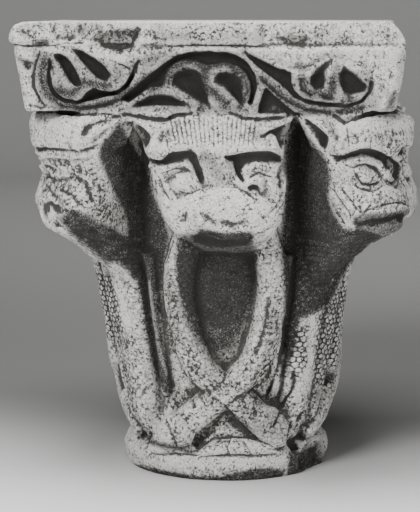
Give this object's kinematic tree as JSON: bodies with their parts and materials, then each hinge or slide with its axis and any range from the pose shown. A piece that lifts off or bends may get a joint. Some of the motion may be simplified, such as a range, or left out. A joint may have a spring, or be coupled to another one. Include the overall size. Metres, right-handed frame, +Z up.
{
  "type": "capital with impost",
  "caption": "Romanesque stone capital carved with beast heads over crossing scaled bodies, under a square impost with a vine scroll, on a round astragal.",
  "frame": {"origin": "centre of the round underside of the astragal, where the capital sits on its shaft", "axes": "+Z up through the bed on top of the impost, the best kept face looks along -Y"},
  "size_m": [0.3697, 0.3697, 0.422],
  "materials": {
    "limestone": "weathered carved limestone, matt, pitted, darker in the recesses"
  },
  "bodies": {
    "root": {"capital_with_impost": "limestone"}
  },
  "joints": []
}
